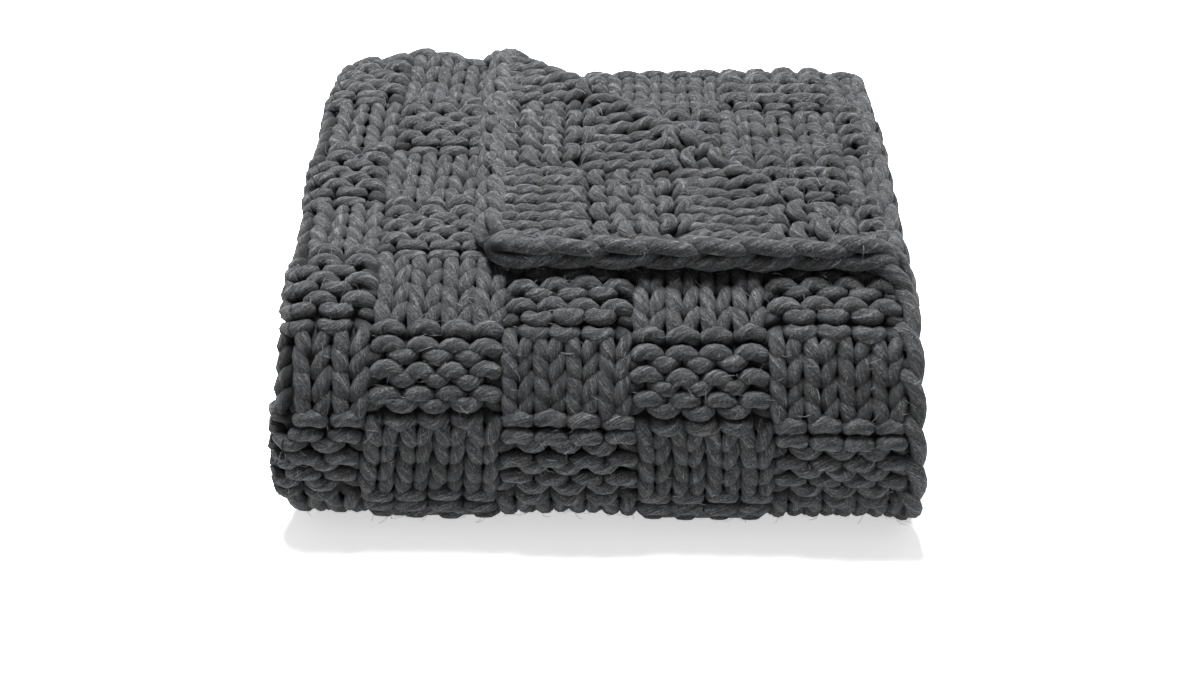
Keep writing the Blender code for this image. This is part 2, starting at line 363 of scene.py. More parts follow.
@dataclass(frozen=True)
class BasketKnit:
    """Blocks of four stitches by four rows that show knit cords and purl ridges in turn.

    `spread` is how uneven the yarn is across, along, in height and in radius, and `drift` is how far
    whole stitches wander across and along.
    """

    fold: Fold
    block: int = 4
    outer_boundary: float = 2.7
    inner_boundary: float = 1.7
    yarn: float = 0.0076
    purl_fuller: float = 0.07
    depth: float = 0.0067
    order: float = 0.0008
    purl_order: float = 0.70
    purl_loop: float = 0.76
    knit_loop: float = 0.93
    stay_out: float = 2.4
    head_ease: tuple[float, float, float, float] = (0.15, -0.09, 0.0, 0.0)
    lean: float = 0.172
    lean_uneven: float = 0.10
    leg_uneven: float = 0.045
    slub: float = 0.035
    lift: float = 0.0022
    blend: float = 0.16
    spread: tuple[float, float, float, float] = (0.0011, 0.0013, 0.0009, 0.045)
    drift: Pair = (0.0026, 0.0030)
    drift_waves: Pair = (8.0, 15.0)
    slub_waves: Pair = (0.35, 0.9)
    spread_seeds: tuple[int, int, int, int] = (11, 12, 13, 14)
    slub_seed: int = 15
    drift_seeds: tuple[int, int] = (16, 17)
    tone_seed: int = 1000
    blend_taps: int = 7
    edge_free: float = 0.06
    probe: float = 0.001

    def across(self, number: np.ndarray) -> np.ndarray:
        """Length from the crease of each stitch number; 0 is the first block boundary outside."""
        stitch = self.fold.stitch
        crease_stitch = (self.outer_boundary + self.inner_boundary) * stitch / self.block
        outer = self.outer_boundary * stitch + number * stitch
        crease = self.outer_boundary * stitch + number * crease_stitch
        inner = -self.inner_boundary * stitch + (number + self.block) * stitch
        return np.where(number >= 0, outer, np.where(number >= -self.block, crease, inner))

    def face(self, number: np.ndarray, row: np.ndarray) -> np.ndarray:
        """1 where the cloth's outer side shows knit cords, and -1 where it shows purl ridges.

        Args:
            number: Stitch numbers, with their fractions.
            row: Row numbers.

        Returns:
            1 or -1 for each point.
        """
        band = np.floor(row / self.block)
        outer_purl = (np.floor(number / self.block) + band) % 2 == 1
        inner_purl = (np.floor((-number - self.block) / self.block) + band) % 2 == 0
        purl = np.where(number >= -self.block, outer_purl, inner_purl)
        return np.where(purl, -1.0, 1.0)

    def soft_face(self, number: np.ndarray, row: np.ndarray) -> np.ndarray:
        """The face, eased where the yarn passes from one side of the cloth to the other."""
        taps = np.linspace(-self.blend, self.blend, self.blend_taps)
        return np.mean([self.face(number + tap, row) for tap in taps], axis=0)

    def course(self, row: int, first: float, last: float, steps: int) -> Strand:
        """One row's yarn from stitch to stitch.

        Args:
            row: Row number from the top back edge.
            first: Stitch number where the strand starts.
            last: Stitch number where it ends.
            steps: Points in each stitch.

        Returns:
            The strand in the folded throw.
        """
        number = np.linspace(first, last, int(round((last - first) * steps)) + 1)
        rows = np.full(number.shape, float(row))
        turn = 2 * math.pi * number
        face = self.soft_face(number, rows)
        wave_across, wave_along, wave_height, wave_radius = (
            amount * Waves(seed).at(number, rows) for seed, amount in zip(self.spread_seeds, self.spread)
        )
        lean = self.lean * (1 - self.lean_uneven * np.sin(turn))
        shifted = number + lean * np.sin(2 * turn)
        across = self.across(shifted) + wave_across
        loop = self.purl_loop + (self.knit_loop - self.purl_loop) * (1 + face) / 2
        head = self.head_ease[row % self.block] * (1 - np.cos(turn)) / 2
        foot = -self.head_ease[-1 - row % self.block] * (1 + np.cos(turn)) / 2
        along = (row + 0.5 + loop * np.cos(turn) + head + foot) * self.fold.row + wave_along
        drift_across, drift_along = (
            amount * Waves(seed, self.drift_waves).at(number, rows)
            for seed, amount in zip(self.drift_seeds, self.drift)
        )
        free = ease((self.fold.width - np.abs(across)) / self.edge_free) * ease(along / self.edge_free)
        across = across + drift_across * free
        along = along + drift_along * free
        crown = self.crown(number, rows)
        order = self.order * np.where(face > 0, 1.0, self.purl_order)
        swing = np.tanh(-self.stay_out * np.cos(2 * turn)) / math.tanh(self.stay_out)
        height = face * self.depth * swing + face * order * np.cos(turn)
        height = height - face * self.lift * crown + wave_height
        slubs = self.slub * Waves(self.slub_seed, self.slub_waves).at(number, rows)
        purl = self.purl_fuller * (1 - face) / 2
        radii = self.yarn * (1 + purl + face * self.leg_uneven * np.sin(turn) + wave_radius + slubs)
        points = self.fold.points(across, along, height)
        outward = unit(self.fold.points(across, along, height + self.probe) - points)
        points[:, 2] = np.maximum(points[:, 2], radii)
        return Strand(points, radii, outward, height, self.tone(row))

    def crown(self, number: np.ndarray, row: np.ndarray) -> np.ndarray:
        """How far each point is inside its block, from 0 at the edges to 1 in the middle."""
        across = np.sin(math.pi * (number / self.block % 1))
        along = np.sin(math.pi * ((row + 0.5) / self.block % 1))
        return np.sqrt(across * along)

    def tone(self, row: int) -> float:
        """Small change of shade from row to row."""
        return float(np.random.default_rng(self.tone_seed + row).uniform(-1, 1))


class Facing(Enum):
    """Which way the V's of an edge chain look, in degrees from straight out towards the wrong side."""

    SELVAGE = 20.0
    BOUND_OFF = 50.0
    CAST_ON = 10.0


@dataclass(frozen=True)
class EdgeChain:
    """Chain of V links that finishes one edge of the cloth.

    Each value named uneven is how far a link may be off, for facing in degrees.
    """

    pitch: float
    facing: Facing
    half_width: float = 0.0080
    depth: float = 0.0042
    overlap: float = 1.46
    point: float = 0.62
    tip_drop: float = 0.0018
    yarn: float = 0.0080
    axis: float = 0.004
    steps: int = 22
    open_part: Pair = (0.02, 0.98)
    size_uneven: float = 0.08
    place_uneven: float = 0.002
    facing_uneven: float = 8.0
    yarn_uneven: Pair = (-0.04, 0.06)

    def link(self, start: float, place: Place, seed: int) -> Strand:
        """One V link.

        Args:
            start: Length along the edge where the link starts.
            place: Turns lengths along the edge, out of it and up from it into space.
            seed: Seed of the link's unevenness.

        Returns:
            The link's strand.
        """
        draw = np.random.default_rng(seed)
        turn = np.linspace(*self.open_part, self.steps) * 2 * math.pi
        size = 1 + draw.uniform(-self.size_uneven, self.size_uneven)
        shift = draw.uniform(-self.place_uneven, self.place_uneven)
        run = start + self.pitch * (0.5 - 0.5 * self.overlap * np.cos(turn)) + shift
        side = -self.half_width * size * np.sin(turn) * (1 - self.point * np.cos(turn))
        stand = -self.depth * np.cos(2 * turn) + self.tip_drop * np.cos(turn)
        angle = math.radians(self.facing.value + draw.uniform(-self.facing_uneven, self.facing_uneven))
        out = stand * math.cos(angle) + side * math.sin(angle)
        up = side * math.cos(angle) - stand * math.sin(angle)
        radii = np.full(turn.shape, self.yarn * (1 + draw.uniform(*self.yarn_uneven)))
        points = place(run, out, up)
        # Out and stand are measured from the chain's axis, so the yarn's painted shade darkens each link's
        # inner side.
        outward = unit(points - place(run, out * 0 - self.axis, up * 0))
        points[:, 2] = np.maximum(points[:, 2], radii)
        return Strand(points, radii, outward, np.hypot(out + self.axis, up), float(draw.uniform(-1, 1)))

    def links(self, first: float, last: float, place: Place, seed: int) -> list[Strand]:
        """All links between two lengths along the edge.

        Args:
            first: Where the chain starts.
            last: Where it ends.
            place: As in link.
            seed: First link's seed.

        Returns:
            One strand for each link.
        """
        count = int(round((last - first) / self.pitch))
        return [self.link(first + number * self.pitch, place, seed + number) for number in range(count)]


def socket_key(tree: bpy.types.NodeTree, name: str) -> str:
    """Identifier of a node group's named input.

    Args:
        tree: The node group.
        name: The input's name.

    Returns:
        The key that a modifier takes for it.
    """
    for item in tree.interface.items_tree:
        if item.item_type == "SOCKET" and item.in_out == "INPUT" and item.name == name:
            return item.identifier
    raise KeyError(name)


def add_object(name: str, data: bpy.types.ID) -> bpy.types.Object:
    """Put an object with this data in the scene."""
    made = bpy.data.objects.new(name, data)
    bpy.context.scene.collection.objects.link(made)
    return made


@dataclass
class NodeMaker:
    """A tree of nodes that are added and joined with short calls."""

    name: str
    tree: bpy.types.NodeTree = field(init=False)

    def node(self, kind: str, settings: dict[str, object] | None = None, **sockets: object) -> bpy.types.Node:
        """Add a node.

        Args:
            kind: The node's type.
            settings: Values of the node's own properties.
            sockets: Inputs by name, with _ for a space: a socket to link or a value to set.

        Returns:
            The new node.
        """
        made = self.tree.nodes.new(kind)
        for key, value in (settings or {}).items():
            setattr(made, key, value)
        for key, value in sockets.items():
            label = key.replace("_", " ")
            self.put(next(s for s in made.inputs if s.enabled and s.name == label), value)
        return made

    def put(self, target: Socket, value: object) -> None:
        """Link a socket to an input, or set the input's value."""
        if isinstance(value, Socket):
            self.tree.links.new(value, target)
        else:
            target.default_value = value

    def fill(self, made: bpy.types.Node, *values: object) -> bpy.types.Node:
        """Put values in a node's first inputs, in their order, and return the node."""
        for target, value in zip(made.inputs, values):
            self.put(target, value)
        return made

    def maths(self, operation: str, *values: object) -> Socket:
        """Add a maths node and return its result."""
        return self.fill(self.node("ShaderNodeMath", {"operation": operation}), *values).outputs[0]

    def vectors(self, operation: str, *values: object) -> bpy.types.Node:
        """Add a vector maths node."""
        return self.fill(self.node("ShaderNodeVectorMath", {"operation": operation}), *values)

    def scaled(self, vector: object, share: object) -> Socket:
        """Add a node that scales a vector or a colour and return its result."""
        made = self.vectors("SCALE", vector)
        self.put(made.inputs["Scale"], share)
        return made.outputs[0]


@dataclass
class GeometryTree(NodeMaker):
    """A Geometry Nodes tree with named inputs."""

    inputs: dict[str, tuple[str, object]]

    def __post_init__(self) -> None:
        """Make the tree with its geometry sockets and its named inputs."""
        self.tree = bpy.data.node_groups.new(self.name, "GeometryNodeTree")
        face = self.tree.interface
        face.new_socket("Geometry", in_out="INPUT", socket_type="NodeSocketGeometry")
        for name, (kind, value) in self.inputs.items():
            socket = face.new_socket(name, in_out="INPUT", socket_type=kind)
            if value is not None:
                socket.default_value = value
        face.new_socket("Geometry", in_out="OUTPUT", socket_type="NodeSocketGeometry")
        self.start = self.tree.nodes.new("NodeGroupInput")
        self.end = self.tree.nodes.new("NodeGroupOutput")

    def place(self) -> Socket:
        """Add a node that reads positions and return them."""
        return self.node("GeometryNodeInputPosition").outputs[0]

    def read(self, name: str, kind: str = "FLOAT") -> Socket:
        """Add a node that reads a named attribute and return its value."""
        return self.node("GeometryNodeInputNamedAttribute", {"data_type": kind}, Name=name).outputs[0]

    def store(self, shape: Socket, name: str, value: Socket, kind: str = "FLOAT") -> Socket:
        """Add a node that stores a named attribute on the points and return the marked shape."""
        settings = {"data_type": kind, "domain": "POINT"}
        made = self.node("GeometryNodeStoreNamedAttribute", settings, Geometry=shape, Name=name, Value=value)
        return made.outputs[0]

    def finish(self, shape: Socket, material: Socket) -> None:
        """End the tree: shade smooth, realise every instance and set the material."""
        smooth = self.node("GeometryNodeSetShadeSmooth", Geometry=shape)
        real = self.node("GeometryNodeRealizeInstances", Geometry=smooth.outputs[0])
        dressed = self.node("GeometryNodeSetMaterial", Geometry=real.outputs[0], Material=material)
        self.put(self.end.inputs[0], dressed.outputs[0])

    def apply(self, piece: bpy.types.Object, **values: object) -> None:
        """Run the tree on a piece and leave it as a plain mesh.

        Args:
            piece: The object whose mesh goes in.
            values: Named inputs of the tree.
        """
        modifier = piece.modifiers.new(self.name, "NODES")
        modifier.node_group = self.tree
        for name, value in values.items():
            modifier[socket_key(self.tree, name)] = value
        graph = bpy.context.evaluated_depsgraph_get()
        mesh = bpy.data.meshes.new_from_object(
            piece.evaluated_get(graph), preserve_all_data_layers=True, depsgraph=graph
        )
        piece.modifiers.remove(modifier)
        old = piece.data
        piece.data = mesh
        bpy.data.meshes.remove(old)
        mesh.name = piece.name


def yarn_sweep() -> GeometryTree:
    """Tree that sweeps a round of yarn along every edge line of a mesh.

    The yarn's surface keeps what its finish reads: its place round the yarn as around, its length
    along it as reach, and its height off the middle of the cloth as lift, from which the finish paints shade
    near the middle.

    Returns:
        The tree, with inputs Sides and Yarn.
    """
    inputs = {"Sides": ("NodeSocketInt", 10), "Yarn": ("NodeSocketMaterial", None)}
    made = GeometryTree("yarn sweep", inputs)
    line, sides, yarn = list(made.start.outputs)[:3]
    course = made.node("GeometryNodeMeshToCurve", Mesh=line).outputs[0]
    course = made.store(course, "reach", made.node("GeometryNodeSplineParameter").outputs["Length"])
    course = made.store(course, "centre", made.place(), "FLOAT_VECTOR")
    ring = made.node("GeometryNodeCurvePrimitiveCircle", Resolution=sides, Radius=1.0).outputs[0]
    ring = made.store(ring, "around", made.place(), "FLOAT_VECTOR")
    swept = made.node(
        "GeometryNodeCurveToMesh",
        Curve=course,
        Profile_Curve=ring,
        Scale=made.read("thickness"),
        Fill_Caps=True,
    )
    arm = made.vectors("SUBTRACT", made.place(), made.read("centre", "FLOAT_VECTOR")).outputs[0]
    rise = made.vectors("DOT_PRODUCT", arm, made.read("outward", "FLOAT_VECTOR")).outputs["Value"]
    lift = made.maths("ADD", rise, made.read("stand"))
    made.finish(made.store(swept.outputs[0], "lift", lift), yarn)
    return made


def strand_object(name: str, strands: list[Strand]) -> bpy.types.Object:
    """Put strands in the scene as lines of edges that carry what the sweep reads.

    Args:
        name: The object's name.
        strands: The strands.

    Returns:
        The object.
    """
    points = np.concatenate([strand.points for strand in strands])
    tones = [np.full(len(strand.points), strand.tone) for strand in strands]
    starts = np.cumsum([0] + [len(strand.points) for strand in strands])
    firsts = np.concatenate([np.arange(a, b - 1) for a, b in zip(starts, starts[1:])])
    mesh = bpy.data.meshes.new(name)
    mesh.vertices.add(len(points))
    mesh.vertices.foreach_set("co", points.astype(np.float32).ravel())
    mesh.edges.add(len(firsts))
    mesh.edges.foreach_set("vertices", np.stack((firsts, firsts + 1), axis=1).astype(np.int32).ravel())
    for label, kind, key, values in (
        ("thickness", "FLOAT", "value", [strand.radii for strand in strands]),
        ("tone", "FLOAT", "value", tones),
        ("stand", "FLOAT", "value", [strand.stand for strand in strands]),
        ("outward", "FLOAT_VECTOR", "vector", [strand.outward for strand in strands]),
    ):
        layer = mesh.attributes.new(label, kind, "POINT")
        layer.data.foreach_set(key, np.concatenate(values).astype(np.float32).ravel())
    mesh.update()
    return add_object(name, mesh)


@dataclass(frozen=True)
class Grain:
    """Size, detail and roughness of one noise."""

    scale: float
    detail: float
    roughness: float


@dataclass
class ShaderTree(NodeMaker):
    """A material's nodes."""

    def __post_init__(self) -> None:
        """Make the material with its principled shader."""
        self.material = bpy.data.materials.new(self.name)
        self.material.use_nodes = True
        self.tree = self.material.node_tree
        self.shader = self.tree.nodes["Principled BSDF"]

    def shade(self, **values: object) -> None:
        """Link or set inputs of the principled shader, with _ for a space in their names."""
        for key, value in values.items():
            self.put(self.shader.inputs[key.replace("_", " ")], value)

    def attribute(self, name: str, output: str = "Fac") -> Socket:
        """Add a node that reads a named attribute and return its value."""
        return self.node("ShaderNodeAttribute", {"attribute_name": name}).outputs[output]

    def noise(self, place: object, grain: Grain) -> Socket:
        """Add a noise and return its level."""
        sizes = {"Scale": grain.scale, "Detail": grain.detail, "Roughness": grain.roughness}
        return self.node("ShaderNodeTexNoise", None, Vector=place, **sizes).outputs[0]

    def object_noise(self, grain: Grain) -> Socket:
        """Add a noise that is laid out in the object's space and return its level."""
        return self.noise(self.node("ShaderNodeTexCoord").outputs["Object"], grain)

    def mix(self, share: object, first: object, second: object) -> Socket:
        """Add a colour mix and return its result."""
        made = self.node("ShaderNodeMix", {"data_type": "RGBA"})
        for target, value in zip((made.inputs[0], made.inputs[6], made.inputs[7]), (share, first, second)):
            self.put(target, value)
        return made.outputs[2]

    def ramp(self, value: object, *stops: tuple[float, Triple]) -> Socket:
        """Add a colour ramp and return its colour.

        Args:
            value: What the ramp reads.
            stops: Positions with their colours.

        Returns:
            The ramp's colour socket.
        """
        made = self.node("ShaderNodeValToRGB", None, Fac=value)
        elements = made.color_ramp.elements
        while len(elements) < len(stops):
            elements.new(0.5)
        for element, (position, colour) in zip(elements, stops):
            element.position = position
            element.color = (*colour, 1.0)
        return made.outputs[0]


@dataclass(frozen=True)
class HeatherYarn:
    """Softly spun charcoal heather yarn: fine twisted fibres, flecked with blue and brown.

    Each pair named light, shade or rough is a factor and what is added to it. The colour also carries painted
    shade: darker in the grooves between the plies and where the yarn's surface lies near the middle of the
    cloth.
    """

    name: str = "charcoal heather yarn"
    twist: float = 95.0
    fibres: Grain = Grain(7.0, 6.0, 0.72)
    fibre_rate: float = 11.0
    fibre_stops: Triple = (0.38, 0.50, 0.63)
    fibre_rough: Pair = (0.2, 0.78)
    wisps: Grain = Grain(1.6, 3.0, 0.6)
    wisp_rate: float = 30.0
    wisp_light: Pair = (0.9, 0.55)
    wisp_relief: float = 0.8
    fuzz: Grain = Grain(430.0, 4.0, 0.75)
    fuzz_light: Pair = (5.4, -1.58)
    fuzz_relief: float = 1.2
    # Painted shade between the plies: the colour is darker in the grooves and lighter on each ply's crown.
    ply_groove_shade: Pair = (0.26, 0.90)
    ply_relief: float = 0.35
    tone_shift: float = 3.0
    tone_light: float = 0.06
    flecks: Grain = Grain(160.0, 3.0, 0.7)
    fleck_share: float = 0.38
    fleck_stops: tuple[float, float, float, float] = (0.36, 0.48, 0.56, 0.66)
    fleck_blue: Triple = (0.0125, 0.0178, 0.0250)
    fleck_brown: Triple = (0.0310, 0.0250, 0.0170)
    dark: Triple = (0.0034, 0.0036, 0.0039)
    middle: Triple = (0.0200, 0.0209, 0.0222)
    light: Triple = (0.088, 0.090, 0.091)
    # Painted shade: the colour is darkened where the yarn's surface lies near the middle of the cloth,
    # between and under the strands; the first value is the share kept nearest the middle, and the next two
    # are the heights off the middle between which the colour eases back to full.
    painted_shade_share: float = 0.035
    painted_shade_from: float = 0.0038
    painted_shade_to: float = 0.0138
    bump: float = 0.9
    bump_depth: float = 0.0013

    def material(self) -> bpy.types.Material:
        """Build the material and return it."""
        tree = ShaderTree(self.name)
        reach, tone, lift = (tree.attribute(name) for name in ("reach", "tone", "lift"))
        around = tree.attribute("around", "Vector")
        spin = tree.maths("MULTIPLY", reach, self.twist)
        turned = tree.node("ShaderNodeVectorRotate", {"rotation_type": "Z_AXIS"}, Vector=around, Angle=spin)
        side, front = tree.node("ShaderNodeSeparateXYZ", None, Vector=turned.outputs[0]).outputs[:2]
        shift = tree.maths("MULTIPLY", tone, self.tone_shift)
        levels = []
        for rate, grain in ((self.fibre_rate, self.fibres), (self.wisp_rate, self.wisps)):
            run = tree.maths("ADD", tree.maths("MULTIPLY", reach, rate), shift)
            place = tree.node("ShaderNodeCombineXYZ", None, X=side, Y=front, Z=run)
            levels.append(tree.noise(place.outputs[0], grain))
        fibres, wisps = levels
        fuzz = tree.object_noise(self.fuzz)
        # Four plies: 8 s^2 (s^2 - 1) + 1 is the cosine of four times the angle whose cosine is s.
        square = tree.maths("MULTIPLY", side, side)
        ply = tree.maths("MULTIPLY", square, tree.maths("SUBTRACT", square, 1.0))
        ply = tree.maths("MULTIPLY_ADD", ply, 8.0, 1.0)
        colour = tree.ramp(fibres, *zip(self.fibre_stops, (self.dark, self.middle, self.light)))
        tints = (self.fleck_blue, self.middle, self.middle, self.fleck_brown)
        tinted = tree.ramp(tree.object_noise(self.flecks), *zip(self.fleck_stops, tints))
        colour = tree.mix(self.fleck_share, colour, tinted)
        # Painted shade: full colour where the yarn's surface stands well off the cloth's middle, darker
        # towards the middle, between and under the strands.
        shown = tree.node(
            "ShaderNodeMapRange",
            {"interpolation_type": "SMOOTHSTEP"},
            Value=tree.maths("ABSOLUTE", lift),
            From_Min=self.painted_shade_from,
            From_Max=self.painted_shade_to,
            To_Min=self.painted_shade_share,
            To_Max=1.0,
        ).outputs[0]
        level = tree.maths("MULTIPLY_ADD", wisps, *self.wisp_light)
        level = tree.maths("ADD", level, tree.maths("MULTIPLY", tone, self.tone_light))
        level = tree.maths("MULTIPLY", level, tree.maths("MULTIPLY_ADD", fuzz, *self.fuzz_light))
        # Painted shade in the grooves between the plies.
        level = tree.maths("MULTIPLY", level, tree.maths("MULTIPLY_ADD", ply, *self.ply_groove_shade))
        # Painted shade near the cloth's middle.
        level = tree.maths("MULTIPLY", level, shown)
        relief = tree.maths("MULTIPLY_ADD", ply, self.ply_relief, fibres)
        relief = tree.maths("ADD", relief, tree.maths("MULTIPLY", wisps, self.wisp_relief))
        relief = tree.maths("ADD", relief, tree.maths("MULTIPLY", fuzz, self.fuzz_relief))
        bump = tree.node("ShaderNodeBump", None, Strength=self.bump, Distance=self.bump_depth, Height=relief)
        tree.shade(
            Base_Color=tree.scaled(colour, level),
            Normal=bump.outputs[0],
            Roughness=tree.maths("MULTIPLY_ADD", fibres, *self.fibre_rough),
            Specular_IOR_Level=0.18,
            Sheen_Weight=0.07,
            Sheen_Roughness=0.55,
            Sheen_Tint=(0.62, 0.64, 0.67, 1.0),
        )
        return tree.material


@dataclass(frozen=True)
class DeepYarn:
    """The dark of the cloth's middle, seen between the strands."""

    name: str = "yarn in shadow"
    grain: Grain = Grain(240.0, 3.0, 0.6)
    dark: Triple = (0.010, 0.010, 0.011)
    light: Triple = (0.032, 0.033, 0.035)

    def material(self) -> bpy.types.Material:
        """Build the material and return it."""
        tree = ShaderTree(self.name)
        mottle = tree.object_noise(self.grain)
        bump = tree.node("ShaderNodeBump", None, Strength=0.4, Distance=0.001, Height=mottle)
        tree.shade(
            Base_Color=tree.ramp(mottle, (0.35, self.dark), (0.65, self.light)),
            Normal=bump.outputs[0],
            Roughness=0.95,
            Specular_IOR_Level=0.05,
        )
        return tree.material


@dataclass(frozen=True)
class StrayFibre:
    """Single wool fibres that stand off the yarn where its surface is `rooted_from` off the middle."""

    name: str = "stray fibre"
    grain: Grain = Grain(90.0, 2.0, 0.6)
    dark: Triple = (0.030, 0.031, 0.033)
    light: Triple = (0.150, 0.152, 0.155)
    density: float = 4300.0
    length: float = 0.010
    radius: float = 0.00017
    rooted_from: float = 0.0095
    middle: Triple = (0.30, 0.10, 0.45)
    tip: Triple = (0.95, 0.25, 0.22)
    lean: float = 0.5
    size: Pair = (0.4, 1.3)

    def material(self) -> bpy.types.Material:
        """Build the material and return it."""
        tree = ShaderTree(self.name)
        mottle = tree.object_noise(self.grain)
        tree.shade(
            Base_Color=tree.ramp(mottle, (0.38, self.dark), (0.62, self.light)),
            Roughness=0.8,
            Specular_IOR_Level=0.2,
        )
        return tree.material

    def growth(self) -> GeometryTree:
        """Tree that grows short bowed fibres out of the yarn.

        Returns:
            The tree, with inputs Density, Seed, Length, Radius and Fibre.
        """
        made = GeometryTree(
            "stray fibres",
            {
                "Density": ("NodeSocketFloat", self.density),
                "Seed": ("NodeSocketInt", 0),
                "Length": ("NodeSocketFloat", self.length),
                "Radius": ("NodeSocketFloat", self.radius),
                "Fibre": ("NodeSocketMaterial", None),
            },
        )
        surface, density, seed, length, radius, fibre = list(made.start.outputs)[:6]
        shown = made.maths("GREATER_THAN", made.maths("ABSOLUTE", made.read("lift")), self.rooted_from)
        roots = made.node(
            "GeometryNodeDistributePointsOnFaces", Mesh=surface, Density=density, Seed=seed, Selection=shown
        )
        line = made.node(
            "GeometryNodeCurveQuadraticBezier",
            Resolution=3,
            Start=(0.0, 0.0, 0.0),
            Middle=made.scaled(self.middle, length),
            End=made.scaled(self.tip, length),
        ).outputs[0]
        ring = made.node("GeometryNodeCurvePrimitiveCircle", Resolution=3, Radius=1.0).outputs[0]
        hair = made.node(
            "GeometryNodeCurveToMesh", Curve=line, Profile_Curve=ring, Scale=radius, Fill_Caps=True
        )
        spin = made.node(
            "FunctionNodeRandomValue",
            {"data_type": "FLOAT_VECTOR"},
            Min=(-self.lean, -self.lean, -math.pi),
            Max=(self.lean, self.lean, math.pi),
            Seed=seed,
        )
        turned = made.node("FunctionNodeRotateRotation", {"rotation_space": "LOCAL"})
        made.fill(turned, roots.outputs["Rotation"], spin.outputs[0])
        low, high = self.size
        size = made.node("FunctionNodeRandomValue", {"data_type": "FLOAT"}, Min=low, Max=high, Seed=seed)
        grown = made.node(
            "GeometryNodeInstanceOnPoints",
            Points=roots.outputs[0],
            Instance=hair.outputs[0],
            Rotation=turned.outputs[0],
            Scale=size.outputs[1],
        )
        made.finish(grown.outputs[0], fibre)
        return made


